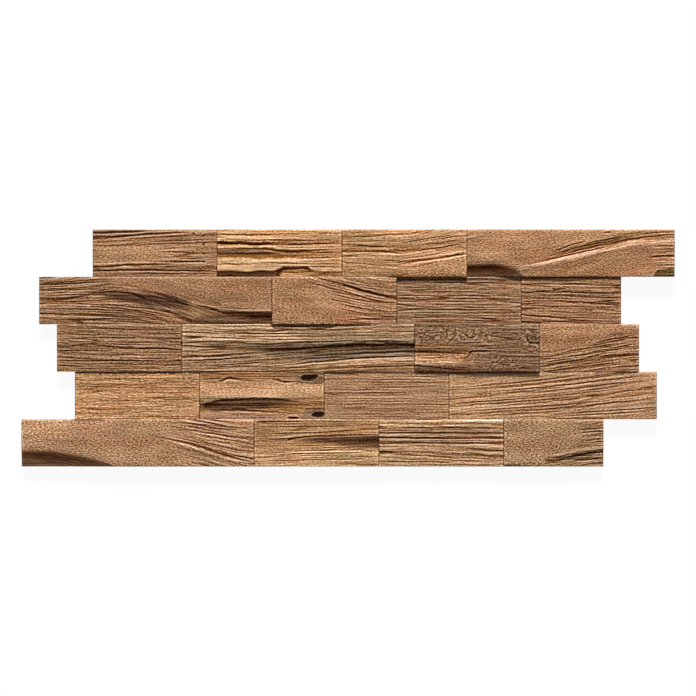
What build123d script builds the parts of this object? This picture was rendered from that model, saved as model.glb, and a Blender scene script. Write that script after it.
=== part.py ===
"""Three-dimensional wall panel of split hardwood blocks.

Five staggered rows of four blocks are glued, with hairline joints, to one plywood board.
Each block is a billet sawn square on five sides and riven along the grain on its face.
The panel lies on its back: +X runs along the rows, +Y up the wall and +Z out of the wall.
The origin is at the middle of the back.
"""

import os

from build123d import *

# Driving dimensions, in millimetres
ROW_LENGTH = 490.0  # cover length of one panel, the same for every row
ROW_HEIGHT = 40.0  # cover height of one row
STAGGER_STEP = 15.0  # rows are set off from each other by whole steps
SHORT_BLOCK = 105.0  # cover length of the common block
LONG_BLOCK = 196.0  # cover length of the long block
JOINT = 0.4  # hairline joint between neighbouring blocks
BACKING_THICKNESS = 4.0
BACKING_INSET = 1.5  # the board stays this far inside the outline of the rows
THINNEST = 7.0  # thickness of a block where its face is split lowest
RELIEF = 12.0  # height of the highest split above the lowest one
SAW_MARGIN = 2.0  # overrun of the waste past the billet that it is split from
KNOT_FLOOR = 4.0  # wood left under a knot hole
SPLIT_CLOSING = 0.2  # share of its depth that a split keeps where it closes
SPLIT_WIDTH = 1.7  # of a split that has opened in a face, at its widest
SPLIT_DEPTH = 1.2

# Rows from the top of the wall down: their offset in stagger steps, then their blocks
ROWS = [
    (4, [SHORT_BLOCK, SHORT_BLOCK, SHORT_BLOCK]),
    (1, [LONG_BLOCK, SHORT_BLOCK, SHORT_BLOCK]),
    (2, [SHORT_BLOCK, LONG_BLOCK, SHORT_BLOCK]),
    (3, [SHORT_BLOCK, SHORT_BLOCK, SHORT_BLOCK]),
    (0, [LONG_BLOCK, SHORT_BLOCK, SHORT_BLOCK]),
]

# The riven faces. A face is a list of sections across the grain, from the left end of the
# block to the right. A section is its place in percent of the length, then its points from
# the lower edge to the upper one: percent of the row height, percent of the relief.
# Points of the same order make one ridge, ledge or valley line along the grain.
FACES = {
    "row1_block1": [
        (0, [(0, 12), (18, 14), (22, 23), (76, 22), (82, 32), (100, 29)]),
        (100, [(0, 15), (20, 16), (24, 24), (90, 21), (95, 27), (100, 26)]),
    ],
    "row1_block2": [
        (0, [
            (0, 0), (9, 2), (13, 62), (38, 55), (43, 30), (50, 38),
            (56, 76), (66, 72), (70, 52), (76, 90), (100, 82),
        ]),
        (46, [
            (0, 4), (9, 7), (13, 60), (36, 57), (42, 33), (49, 41),
            (54, 70), (64, 67), (68, 54), (74, 80), (100, 74),
        ]),
        (53, [
            (0, 28), (18, 34), (22, 58), (37, 57), (42, 34), (49, 42),
            (54, 68), (64, 66), (68, 54), (74, 78), (100, 72),
        ]),
        (72, [
            (0, 34), (19, 38), (23, 57), (38, 56), (43, 38), (50, 44),
            (55, 64), (65, 63), (69, 54), (75, 71), (100, 66),
        ]),
        (77, [
            (0, 36), (10, 39), (15, 56), (38, 55), (43, 39), (50, 45),
            (55, 62), (65, 62), (69, 54), (75, 69), (100, 65),
        ]),
        (100, [
            (0, 38), (9, 40), (13, 52), (38, 53), (43, 45), (50, 48),
            (56, 58), (66, 58), (70, 53), (76, 62), (100, 60),
        ]),
    ],
    "row1_block3": [
        (0, [(0, 42), (12, 44), (50, 46), (56, 41), (76, 48), (100, 46)]),
        (50, [(0, 44), (14, 54), (46, 56), (54, 43), (84, 58), (100, 54)]),
        (100, [(0, 48), (20, 60), (52, 63), (60, 53), (92, 62), (100, 58)]),
    ],
    "row1_block4": [
        (0, [(0, 3), (21, 9), (27, 56), (45, 62), (70, 62), (100, 58)]),
        (14, [(0, 3), (22, 9), (28, 58), (45, 63), (70, 62), (100, 58)]),
        (27, [(0, 52), (10, 58), (18, 64), (30, 54), (60, 62), (100, 58)]),
        (55, [(0, 52), (25, 58), (45, 71), (58, 42), (73, 62), (100, 58)]),
        (80, [(0, 48), (35, 56), (68, 70), (80, 40), (92, 58), (100, 56)]),
        (100, [(0, 44), (40, 53), (75, 66), (86, 45), (96, 54), (100, 54)]),
    ],
    "row2_block1": [
        (0, [(0, 28), (15, 30), (36, 36), (50, 34), (66, 36), (100, 34)]),
        (20, [(0, 26), (15, 28), (37, 36), (55, 29), (66, 41), (100, 38)]),
        (48, [(0, 24), (12, 26), (34, 34), (45, 23), (60, 47), (100, 46)]),
        (72, [(0, 16), (4, 18), (9, 24), (22, 13), (38, 51), (100, 50)]),
        (100, [(0, 6), (4, 6), (9, 8), (18, 8), (23, 54), (100, 52)]),
    ],
    "row2_block2": [
        (0, [(0, 70), (30, 74), (60, 74), (70, 74), (94, 73), (100, 72)]),
        (38, [(0, 68), (30, 72), (70, 70), (90, 64), (95, 68), (100, 70)]),
        (75, [(0, 50), (30, 54), (62, 54), (68, 42), (74, 53), (100, 54)]),
        (100, [(0, 38), (25, 42), (46, 44), (53, 35), (60, 43), (100, 44)]),
    ],
    "row2_block3": [
        (0, [(0, 14), (30, 18), (60, 14), (85, 13), (100, 8)]),
        (100, [(0, 12), (30, 16), (60, 18), (85, 12), (100, 9)]),
    ],
    "row2_block4": [
        (0, [(0, 18), (20, 20), (62, 18), (67, 24), (88, 24), (100, 20)]),
        (100, [(0, 16), (20, 18), (60, 14), (66, 25), (88, 26), (100, 22)]),
    ],
    "row3_block1": [
        (0, [(0, 32), (28, 33), (33, 38), (54, 36), (60, 42), (100, 40)]),
        (100, [(0, 33), (20, 34), (25, 40), (43, 34), (48, 44), (100, 42)]),
    ],
    "row3_block2": [
        (0, [(0, 36), (10, 38), (30, 38), (60, 40), (75, 42), (100, 38)]),
        (40, [(0, 33), (9, 39), (18, 34), (46, 26), (58, 45), (100, 42)]),
        (75, [(0, 31), (20, 37), (27, 27), (55, 15), (66, 45), (100, 44)]),
        (100, [(0, 32), (26, 34), (33, 23), (55, 11), (65, 45), (100, 44)]),
    ],
    "row3_block3": [
        (0, [(0, 40), (10, 50), (20, 57), (44, 50), (49, 70), (100, 66)]),
        (38, [(0, 52), (10, 57), (20, 60), (40, 54), (45, 70), (100, 68)]),
        (46, [(0, 58), (10, 66), (20, 68), (40, 68), (46, 70), (100, 68)]),
        (100, [(0, 60), (10, 66), (20, 68), (40, 67), (46, 67), (100, 64)]),
    ],
    "row3_block4": [
        (0, [(0, 24), (14, 26), (20, 33), (60, 34), (80, 37), (100, 34)]),
        (100, [(0, 28), (40, 30), (46, 37), (76, 33), (82, 39), (100, 36)]),
    ],
    "row4_block1": [
        (0, [(0, 20), (30, 22), (60, 20), (85, 18), (100, 16)]),
        (100, [(0, 24), (30, 24), (60, 21), (85, 22), (100, 20)]),
    ],
    "row4_block2": [
        (0, [(0, 26), (12, 28), (20, 13), (36, 16), (40, 32), (100, 28)]),
        (45, [(0, 26), (14, 28), (22, 14), (38, 17), (44, 38), (100, 32)]),
        (100, [(0, 24), (12, 26), (22, 22), (34, 25), (40, 31), (100, 28)]),
    ],
    "row4_block3": [
        (0, [(0, 23), (35, 26), (70, 24), (100, 21)]),
        (100, [(0, 26), (35, 24), (70, 26), (100, 23)]),
    ],
    "row4_block4": [
        (0, [(0, 26), (20, 30), (28, 26), (50, 29), (100, 24)]),
        (100, [(0, 23), (48, 31), (56, 26), (84, 29), (100, 22)]),
    ],
    "row5_block1": [
        (0, [(0, 0), (28, 6), (34, 44), (55, 52), (70, 48), (100, 36)]),
        (15, [(0, 2), (26, 8), (32, 46), (60, 54), (88, 52), (100, 46)]),
        (26, [(0, 12), (16, 16), (23, 46), (60, 54), (90, 54), (100, 52)]),
        (40, [(0, 44), (4, 46), (10, 48), (60, 52), (90, 52), (100, 50)]),
        (100, [(0, 30), (15, 34), (30, 31), (60, 36), (85, 38), (100, 36)]),
    ],
    "row5_block2": [
        (0, [(0, 30), (30, 32), (48, 32), (58, 32), (63, 34), (100, 32)]),
        (32, [(0, 30), (30, 32), (50, 30), (57, 27), (62, 36), (100, 34)]),
        (100, [(0, 32), (30, 30), (44, 26), (58, 6), (63, 43), (100, 38)]),
    ],
    "row5_block3": [
        (0, [
            (0, 24), (32, 25), (37, 31), (47, 32), (50, 24), (57, 32), (61, 24), (66, 33),
            (71, 24), (77, 32), (81, 24), (87, 31), (91, 24), (96, 30), (100, 27),
        ]),
        (100, [
            (0, 26), (22, 25), (27, 31), (45, 32), (50, 22), (56, 33), (61, 23), (65, 34),
            (70, 24), (76, 34), (80, 25), (85, 33), (89, 25), (95, 32), (100, 29),
        ]),
    ],
    "row5_block4": [
        (0, [(0, 28), (7, 40), (14, 42), (60, 42), (100, 40)]),
        (41, [(0, 34), (10, 38), (16, 42), (60, 42), (100, 40)]),
        (100, [(0, 20), (28, 23), (36, 40), (60, 40), (100, 38)]),
    ],
}

# Knot holes: block, place of the middle in percent of length and row height, then the
# length along the grain and the width across it, in millimetres
KNOTS = [
    ("row4_block2", 88, 88, 12.0, 3.6),
    ("row4_block2", 94, 11, 7.5, 3.4),
]

# Splits that have opened in the faces: size in percent of the widest and deepest split, then
# the points that the split runs through, in percent of the block's length and the row height
SPLITS = {
    "row1_block1": [
        (90, [(-3, 77), (26, 84), (42, 91), (76, 95)]),
        (75, [(-3, 15), (31, 15), (59, 17), (88, 15)]),
        (65, [(42, 52), (73, 49), (92, 49)]),
        (60, [(8, 62), (40, 66), (80, 72)]),
    ],
    "row1_block2": [
        (70, [(30, 60), (60, 60), (103, 62)]),
        (70, [(-3, 26), (40, 29), (84, 27)]),
        (70, [(-3, 88), (50, 87), (97, 90)]),
    ],
    "row1_block3": [
        (60, [(2, 85), (46, 89), (90, 97)]),
        (80, [(-3, 68), (20, 66), (40, 66)]),
        (90, [(33, 59), (44, 55), (56, 50)]),
        (70, [(-3, 46), (20, 45), (37, 41)]),
        (75, [(56, 60), (75, 68), (92, 78)]),
        (70, [(59, 37), (90, 46), (103, 54)]),
        (80, [(-3, 34), (25, 25), (62, 20)]),
    ],
    "row1_block4": [
        (80, [(36, 36), (52, 58), (66, 72), (88, 87)]),
        (80, [(47, 64), (59, 78), (69, 84), (91, 93)]),
        (55, [(84, 36), (103, 43)]),
    ],
    "row2_block1": [
        (100, [(10, 65), (26, 63), (40, 58)]),
        (80, [(-3, 84), (18, 87), (32, 93)]),
        (80, [(-3, 44), (20, 47), (36, 42)]),
        (80, [(-3, 22), (25, 20), (50, 8)]),
        (70, [(12, 33), (32, 32), (46, 26)]),
    ],
    "row2_block2": [
        (110, [(39, 92), (58, 80), (75, 68), (103, 52)]),
        (80, [(39, 82), (58, 64), (81, 42)]),
        (65, [(62, 30), (82, 22), (103, 20)]),
        (65, [(67, 7), (103, 7)]),
    ],
    "row2_block3": [
        (65, [(-3, 72), (40, 73), (96, 72)]),
        (65, [(20, 53), (60, 54), (103, 52)]),
        (75, [(-3, 34), (26, 33), (46, 30)]),
        (75, [(44, 34), (74, 25), (96, 24)]),
    ],
    "row2_block4": [
        (100, [(-3, 68), (59, 66), (103, 64)]),
        (80, [(2, 52), (28, 48), (103, 38)]),
        (65, [(-3, 30), (40, 26), (80, 25)]),
        (70, [(8, 82), (50, 84), (103, 80)]),
    ],
    "row3_block1": [
        (85, [(-3, 80), (14, 80), (36, 85)]),
        (65, [(30, 72), (60, 72), (103, 67)]),
        (100, [(20, 55), (53, 51), (103, 45)]),
        (80, [(-3, 30), (30, 25), (103, 22)]),
        (60, [(10, 11), (50, 12), (90, 13)]),
    ],
    "row3_block2": [
        (75, [(3, 80), (40, 80), (75, 84)]),
        (85, [(-3, 60), (20, 60), (42, 57)]),
        (80, [(-3, 31), (20, 34), (50, 42)]),
        (85, [(40, 22), (70, 36), (103, 44)]),
        (65, [(56, 86), (80, 88), (103, 85)]),
        (65, [(52, 6), (80, 12), (103, 14)]),
    ],
    "row3_block3": [
        (90, [(51, 80), (54, 68), (60, 62), (70, 62)]),
        (80, [(46, 50), (60, 49), (72, 48)]),
        (75, [(86, 64), (95, 67), (103, 66)]),
        (70, [(-3, 33), (20, 34), (36, 33)]),
    ],
    "row3_block4": [
        (70, [(48, 60), (75, 67), (103, 74)]),
        (80, [(-3, 25), (22, 27), (56, 41), (103, 51)]),
        (85, [(-3, 5), (26, 12), (56, 22), (80, 26)]),
        (60, [(4, 44), (30, 47), (52, 54)]),
    ],
    "row4_block1": [
        (60, [(5, 71), (30, 72), (55, 71)]),
        (65, [(30, 41), (70, 42), (103, 40)]),
        (65, [(-3, 22), (40, 22), (80, 20)]),
    ],
    "row4_block2": [
        (90, [(14, 82), (24, 87), (34, 84)]),
        (75, [(58, 80), (70, 78), (84, 78)]),
        (60, [(4, 62), (40, 66), (72, 62)]),
    ],
    "row4_block3": [
        (55, [(-3, 31), (50, 32), (103, 30)]),
        (55, [(10, 54), (60, 55), (90, 54)]),
        (55, [(40, 78), (75, 77), (103, 78)]),
    ],
    "row4_block4": [
        (75, [(9, 51), (30, 54), (43, 61), (63, 76)]),
        (80, [(18, 26), (43, 35), (59, 42), (103, 70)]),
        (80, [(-3, 8), (25, 14), (54, 21), (83, 36), (103, 46)]),
        (65, [(50, 8), (75, 12), (103, 22)]),
        (65, [(64, 60), (82, 72), (103, 86)]),
    ],
    "row5_block1": [
        (85, [(66, 84), (79, 72), (103, 56)]),
        (70, [(68, 73), (84, 56), (103, 36)]),
        (85, [(66, 61), (77, 44), (87, 29), (103, 11)]),
    ],
    "row5_block2": [
        (65, [(-3, 88), (30, 90), (60, 90)]),
        (70, [(60, 76), (80, 78), (103, 82)]),
        (70, [(36, 34), (72, 38), (103, 44)]),
        (65, [(-3, 18), (40, 19), (80, 23)]),
    ],
    "row5_block3": [
        (70, [(7, 28), (30, 24), (61, 18), (90, 17)]),
        (60, [(-3, 10), (50, 11), (103, 8)]),
    ],
    "row5_block4": [
        (130, [(40, 15), (69, 24), (103, 33)]),
        (85, [(46, 7), (77, 12), (103, 16)]),
        (50, [(74, 62), (88, 64), (103, 66)]),
        (50, [(72, 80), (88, 82), (103, 84)]),
    ],
}

row_count = len(ROWS)
panel_length = ROW_LENGTH + STAGGER_STEP * max(steps for steps, _ in ROWS)
panel_height = ROW_HEIGHT * row_count
billet_thickness = THINNEST + RELIEF


def row_left(steps):
    """Left end of a row that is set off by a number of stagger steps."""
    return -panel_length / 2 + STAGGER_STEP * steps


def row_bottom(row):
    """Lower edge of a row, counted from the top of the wall."""
    return panel_height / 2 - ROW_HEIGHT * (row + 1)


def cells():
    """Name, left end, lower edge and cover length of every block."""
    for row, (steps, lengths) in enumerate(ROWS):
        closing_length = ROW_LENGTH - sum(lengths)
        left = row_left(steps)
        for place, length in enumerate([*lengths, closing_length]):
            yield f"row{row + 1}_block{place + 1}", left, row_bottom(row), length
            left += length


def split_height(percent):
    """Height of a point of a riven face above the back of the panel."""
    return BACKING_THICKNESS + THINNEST + RELIEF * percent / 100


def billet(left, bottom, length):
    """The sawn block before it is split, less its half of the joints round it."""
    sawn = Box(
        length - JOINT,
        ROW_HEIGHT - JOINT,
        billet_thickness,
        align=(Align.MIN, Align.MIN, Align.MIN),
    )
    return Pos(left + JOINT / 2, bottom + JOINT / 2, BACKING_THICKNESS) * sawn


def waste(left, bottom, length, face):
    """What splitting takes off a billet, ruled along the grain from section to section."""
    over = BACKING_THICKNESS + billet_thickness + SAW_MARGIN
    sections = []
    for number, (along, points) in enumerate(face):
        x = left + length * along / 100
        if number == 0:
            x -= SAW_MARGIN
        if number == len(face) - 1:
            x += SAW_MARGIN
        line = [(bottom + ROW_HEIGHT * up / 100, split_height(high)) for up, high in points]
        first = (bottom - SAW_MARGIN, line[0][1])
        last = (bottom + ROW_HEIGHT + SAW_MARGIN, line[-1][1])
        corners = [(first[0], over), first, *line, last, (last[0], over)]
        sections.append(Plane.YZ.offset(x) * make_face(Polyline(*corners, close=True)))
    return loft(sections, ruled=True)


def knot_hole(left, bottom, length, along, up, hole_length, hole_width):
    """A knot that has fallen out of the riven face: an oval hole, long along the grain."""
    x = left + length * along / 100
    y = bottom + ROW_HEIGHT * up / 100
    oval = Ellipse(hole_length / 2, hole_width / 2)
    return Pos(x, y, BACKING_THICKNESS + KNOT_FLOOR) * extrude(oval, billet_thickness)


def between(points, place):
    """Value at a place on a line of points, which keeps its end values beyond its ends."""
    if place <= points[0][0]:
        return points[0][1]
    for (start, low), (end, high) in zip(points, points[1:]):
        if place <= end:
            return low + (high - low) * (place - start) / (end - start)
    return points[-1][1]


def face_level(face, along, up):
    """Percent of the relief at a place on a riven face."""
    places = [place for place, _ in face]
    section = []
    for ridge in zip(*(points for _, points in face)):
        ups, levels = zip(*ridge)
        section.append((between([*zip(places, ups)], along), between([*zip(places, levels)], along)))
    return between(section, up)


def open_split(left, bottom, length, face, size, points):
    """A split along the grain: a V cut down from the face, which closes where it ends in the face."""
    sections = []
    for number, (along, up) in enumerate(points):
        closes = number in (0, len(points) - 1) and 0 < along < 100
        deep = SPLIT_DEPTH * size / 100 * (SPLIT_CLOSING if closes else 1)
        half_width = SPLIT_WIDTH / 2 * (deep + SAW_MARGIN) / SPLIT_DEPTH
        x = left + length * along / 100
        y = bottom + ROW_HEIGHT * up / 100
        z = split_height(face_level(face, along, up))
        corners = [(y, z - deep), (y + half_width, z + SAW_MARGIN), (y - half_width, z + SAW_MARGIN)]
        sections.append(Plane.YZ.offset(x) * make_face(Polyline(*corners, close=True)))
    return loft(sections, ruled=True)


def split_block(name, left, bottom, length):
    """One riven block, with its knot holes and the splits that have opened in it."""
    face = FACES[name]
    cuts = [waste(left, bottom, length, face)]
    for size, points in SPLITS[name]:
        cuts.append(open_split(left, bottom, length, face, size, points))
    for owner, *hole in KNOTS:
        if owner == name:
            cuts.append(knot_hole(left, bottom, length, *hole))
    return billet(left, bottom, length) - cuts


def backing_board():
    """Plywood cut to the stepped outline of the rows, a little inside it."""
    outline = Sketch()
    for row, (steps, _) in enumerate(ROWS):
        strip = Rectangle(ROW_LENGTH, ROW_HEIGHT, align=(Align.MIN, Align.MIN))
        outline += Pos(row_left(steps), row_bottom(row)) * strip
    outline = offset(outline, -BACKING_INSET, kind=Kind.INTERSECTION)
    return extrude(outline, BACKING_THICKNESS)


os.makedirs("parts", exist_ok=True)
export_step(backing_board(), "parts/backing_board.step")
for name, left, bottom, length in cells():
    export_step(split_block(name, left, bottom, length), f"parts/{name}.step")
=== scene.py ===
"""Looks of a wall panel of split hardwood blocks.

Each block's riven face is grown from its solid: the splits, ledges and hollows of the solid stay
where they are, and the brushed fibres, cracks, worn patches and worm holes are added to them.
Sizes are millimetres and places on a face are percents of its length and of its height. Lines and
outlines that go on over an edge of the face end outside it, mostly at -8 and 108.
"""

import math
from dataclasses import dataclass

import bpy
import numpy as np
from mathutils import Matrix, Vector
from mathutils.bvhtree import BVHTree


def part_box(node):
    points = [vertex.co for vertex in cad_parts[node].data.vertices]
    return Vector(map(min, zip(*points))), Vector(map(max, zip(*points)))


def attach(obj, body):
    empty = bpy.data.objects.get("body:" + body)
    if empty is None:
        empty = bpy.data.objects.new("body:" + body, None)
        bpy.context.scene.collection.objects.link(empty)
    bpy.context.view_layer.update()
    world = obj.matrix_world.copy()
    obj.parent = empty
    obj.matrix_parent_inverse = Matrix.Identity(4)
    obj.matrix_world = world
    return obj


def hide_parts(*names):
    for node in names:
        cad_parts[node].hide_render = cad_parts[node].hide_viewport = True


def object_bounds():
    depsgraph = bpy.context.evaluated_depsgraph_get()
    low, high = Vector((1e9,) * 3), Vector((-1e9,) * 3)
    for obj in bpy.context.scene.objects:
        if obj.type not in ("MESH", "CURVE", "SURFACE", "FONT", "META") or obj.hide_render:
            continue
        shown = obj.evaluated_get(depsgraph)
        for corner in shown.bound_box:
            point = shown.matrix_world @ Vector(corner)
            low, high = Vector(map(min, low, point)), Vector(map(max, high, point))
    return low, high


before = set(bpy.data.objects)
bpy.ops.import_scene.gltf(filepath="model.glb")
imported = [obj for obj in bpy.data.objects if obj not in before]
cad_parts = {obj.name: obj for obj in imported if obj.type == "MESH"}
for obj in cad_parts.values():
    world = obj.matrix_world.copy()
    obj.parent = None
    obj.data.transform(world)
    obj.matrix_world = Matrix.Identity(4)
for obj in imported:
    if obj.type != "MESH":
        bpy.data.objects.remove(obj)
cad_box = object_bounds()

MM = 0.001
BODY = "root"
ROWS = 5
BLOCKS_IN_A_ROW = 4

# Mesh of a riven block
CELL_ALONG = 0.6  # grid of the face along the grain
CELL_ACROSS = 0.42
WALL_STEPS = (0.04, 0.3, 0.65, 1.0)  # rings of a sawn side, as shares of its height
CLEAR = 0.05  # the face is read from the solid this far inside its edges

# Shape of the wood
EDGE_WEAR = 0.25  # how much the brush has rounded the edges of a face
TOP_EDGE_WEAR = 0.85
EDGE_WIDTH = 0.85
JOINT_SWELL = 0.14  # how far a block swells into the joints above and below it
END_SWELL = 0.15  # and into those at its ends
CREASE_WANDER = 0.9  # how far a split strays from a straight line
TEARS = 2.5  # steps in which a torn edge strays
STEP_CAP = 1.1  # what lies further up or down than this gets no more painted shade or painted highlight
WORM_HOLE = 0.75  # radius
WORM_HOLE_DEPTH = 2.5
FIBRE_HEIGHT = 0.66
BARE = 0.85  # share of the fibres that is gone where a face is worn or broke away smooth
LIPS = 0.25  # height of the lips of a groove, as a share of its depth
UNDULATION = 0.5
PEBBLE_HEIGHT = 0.30
PEBBLE_SLANT = (0.96, 0.28)  # cosine and sine of the angle of the pebbles to the block
STRANDS = ((4.2, 130, 0.8), (2.4, 60, 0.9), (1.4, 18, 0.8))  # fibres: width, run and share of the height
PEBBLES = ((2.0, 0.9, 1.0), (1.35, 0.8, 0.8))  # length, width and share of the height
SPLIT_RUN = 80  # how long the thin splits are, how far apart and how wide
SPLIT_SPACING = 5.5
SPLIT_WIDTH = 0.10
CURL_BEND = 3  # how far the curls under bark bend, and their length and width
CURL_SIZE = (5.5, 3.6)

# Soft edges of the patches on a face, and the run over which a step is eased
WORN_EDGE = 7
EASED_EDGE = 5
CLEAN_EDGE = 2
CHIP_EDGE = 1.2
EASED_RUN = 6
PAINTED_JOINT_SHADE_FROM = 96.5  # percent of the height from which painted shade under the joint above darkens a face

# Widths, along and across the grain, over which heights are evened out
CREASES = (0.9, 0.4)  # of the solid
FINE_LIE = (1.5, 0.9)  # to find what lies in a groove or on a crest
BROAD_LIE = (4, 3)
LIE = (6, 4)
WIDE_LIE = (12, 8)
FINE_STEP = 0.35  # a point that lies this far below the others is wholly in a groove
BROAD_STEP = 2.2

# Colours of the wood, linear
TONES = {
    "honey": (0.560, 0.310, 0.151),
    "russet": (0.486, 0.260, 0.135),
    "tan": (0.468, 0.265, 0.144),
    "olive": (0.437, 0.259, 0.140),
}
# "dark" is both dark stained wood and painted shade; "peach" is also a painted highlight on one crest
STAIN_AND_PAINTED_LIGHT_COLOURS = {
    "dark": (0.088, 0.039, 0.025),
    "grey": (0.165, 0.118, 0.080),
    "fresh": (0.560, 0.250, 0.080),
    "pale": (0.620, 0.370, 0.195),
    "red": (0.440, 0.170, 0.095),
    "green": (0.235, 0.185, 0.062),
    "cream": (0.780, 0.500, 0.280),
    "pink": (0.480, 0.270, 0.190),
    "peach": (0.840, 0.480, 0.275),
}
GROOVE_SHADE_RATES = (1.95, 3.0, 4.9)  # painted shade: how fast red, green and blue fade into a groove
CREST_HIGHLIGHT_RATES = (1.3, 1.65, 2.1)  # painted highlight: how fast they grow towards a crest
WARM_VEIN = (1.14, 0.92, 0.84, 1)  # tints of the slow drift of the colour
COOL_VEIN = (0.93, 1.04, 0.89, 1)
PLYWOOD_TONE = (0.50, 0.36, 0.22)
PLY = 1.33  # thickness


@dataclass
class Face:
    """The riven face of one block, beyond the shape that its solid has."""

    tone: str
    light: float = 1.0
    flow: tuple = ()  # bends of the grain: from, to, rise at the lower edge, rise at the upper edge
    fibre: float = 1.0  # how strongly the fibres are brushed out
    run: float = 1.0  # how long they are
    splits: float = 0.9  # depth of the long thin splits
    pebble: float = 1.0  # how strongly the worn patches are pebbled
    bark: float = 0.0  # height of curls, as under bark, on the worn patches
    wander: float = 1.0  # how much the splits wander
    torn: float = 0.4  # how far torn edges stray
    eased: tuple = ()  # outline of a patch whose step is worn to a slope, and the slope's width
    worn: tuple = ()  # outlines of the patches where the fibres are worn away
    grooves: tuple = ()  # points, half width, depth
    fans: tuple = ()  # lower and upper guide line, number of grooves between them, half width, depth
    crests: tuple = ()  # points, half width, height
    chips: tuple = ()  # outline, depth
    clean: tuple = ()  # outlines of the patches that broke away smooth
    stains_and_painted_light: tuple = ()  # patches of colour, mostly stained wood, some painted shade and painted highlight: colour name, outline, soft edge, strength
    worm_holes: tuple = ()
    painted_joint_shade: tuple = ()  # where painted shade darkens the top of the block below a prouder block above: from, to, strength

    def marks(self):
        """The stained patches, and the strips of painted shade at the top of the face under the joints above.
        """
        strips = [
            ("dark", band(PAINTED_JOINT_SHADE_FROM, 108, start, end), 1.0, strength)
            for start, end, strength in self.painted_joint_shade
        ]
        return [*self.stains_and_painted_light, *strips]


def band(low, high, start=-8, end=108):
    """Outline of a strip along a face."""
    return ((start, low), (end, low), (end, high), (start, high))


# Outlines that several marks of a face share
SCOOP = ((-8, -8), (-8, 16), (3, 22), (10, 24), (18, 21), (24, 13), (30, -8))
GREEN_CHIP = ((88, -8), (92, 14), (99, 17), (108, 17), (108, -8))
DARK_CORNER = ((-8, -8), (-8, 33), (14, 32), (26, 23), (38, 6), (44, -8))

FACES = {}
FACES["row1_block1"] = Face(
    tone="russet", light=0.91, flow=((0, 100, 1, 4),), fibre=0.62, splits=0.6,
    fans=(
        (((-8, 62), (108, 70)), ((-8, 76), (108, 92)), 3, 0.45, 0.6),
        (((45, 32), (92, 30)), ((45, 56), (92, 50)), 4, 0.5, 0.7),
        (((-8, 2), (108, 4)), ((-8, 24), (108, 24)), 3, 0.5, 0.7),
    ),
    worn=(((1, 62), (1, 28), (40, 28), (62, 40), (62, 58), (30, 66)),),
    grooves=(
        (((-30, 92), (12, 93), (52, 97)), 0.9, 1.0),
        (((-40, 80), (4, 83), (40, 88), (84, 95)), 1.0, 1.0),
        (((-40, 19), (6, 21), (36, 25), (76, 26)), 0.9, 1.0),
        (((-40, 12), (10, 13), (60, 13), (108, 10)), 0.7, 0.9),
        (((60, 31), (76, 32), (92, 32)), 0.7, 0.9),
    ),
    stains_and_painted_light=(
        ("pale", ((4, 62), (40, 68), (72, 62), (72, 38), (40, 28), (6, 32)), 9, 0.6),
        ("dark", ((-8, 88), (-8, 108), (40, 104), (36, 93), (10, 86)), 5, 0.55),
    ),
    worm_holes=((81, 91), (89, 87), (89, 68), (89, 49), (89, 32)),
)
FACES["row1_block2"] = Face(
    tone="honey", light=1.11, flow=((0, 100, -1, 1),), fibre=0.65, splits=0.5, wander=0.4, torn=0.7,
    eased=((((-8, 38), (-8, 62), (60, 60), (108, 56), (108, 40)), 2.0), (band(66, 88, 44), 1.4)),
    fans=(
        (((30, 48), (108, 46)), ((30, 70), (108, 82)), 5, 0.5, 0.6),
        (((-8, 84), (108, 86)), ((-8, 98), (108, 98)), 2, 0.45, 0.4),
        (((40, 18), (108, 16)), ((40, 40), (108, 44)), 4, 0.5, 0.6),
    ),
    grooves=(
        (((-8, 78), (35, 76), (90, 77)), 0.7, 0.7),
        (((-8, 59), (36, 58), (50, 54), (67, 53), (98, 58)), 1.0, 1.0),
    ),
    stains_and_painted_light=(
        # painted shade on the riser below the ridge, which faces away from the light
        ("dark", ((-8, 47), (-8, 59), (34, 58), (48, 53), (36, 46)), 3, 0.5),
        ("cream", ((-8, 38), (-8, 48), (30, 49), (60, 46), (60, 38)), 3, 0.8),
        ("fresh", ((-8, 62), (-8, 74), (60, 73), (100, 70), (60, 62)), 4, 0.33),
        ("pale", ((-8, 16), (-8, 49), (30, 50), (52, 45), (100, 40), (60, 22)), 4, 0.45),
    ),
)
FACES["row1_block3"] = Face(
    tone="honey", light=1.04, flow=((0, 45, -3, 2), (45, 100, 3, 9)), fibre=0.58, splits=0.5,
    fans=(
        (((-8, 40), (45, 36)), ((-8, 84), (45, 88)), 6, 0.5, 0.65),
        (((40, 25), (108, 48)), ((40, 72), (108, 102)), 7, 0.5, 0.65),
    ),
    worn=(((50, -8), (54, 20), (76, 29), (94, 40), (108, 42), (108, -8)),),
    grooves=(
        (((44, 25), (58, 32), (75, 38), (95, 46), (108, 49)), 0.7, 0.8),
        (((-20, 52), (10, 53), (32, 53), (43, 50), (52, 46)), 0.8, 0.7),
    ),
    crests=((((54, 26), (75, 33), (96, 41)), 0.7, 0.35),),
    stains_and_painted_light=(
        ("dark", ((-8, -8), (-8, 108), (30, 108), (50, -8)), 20, 0.06),
        ("peach", ((55, -8), (45, 108), (108, 108), (108, -8)), 14, 0.17),
    ),
)
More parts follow.
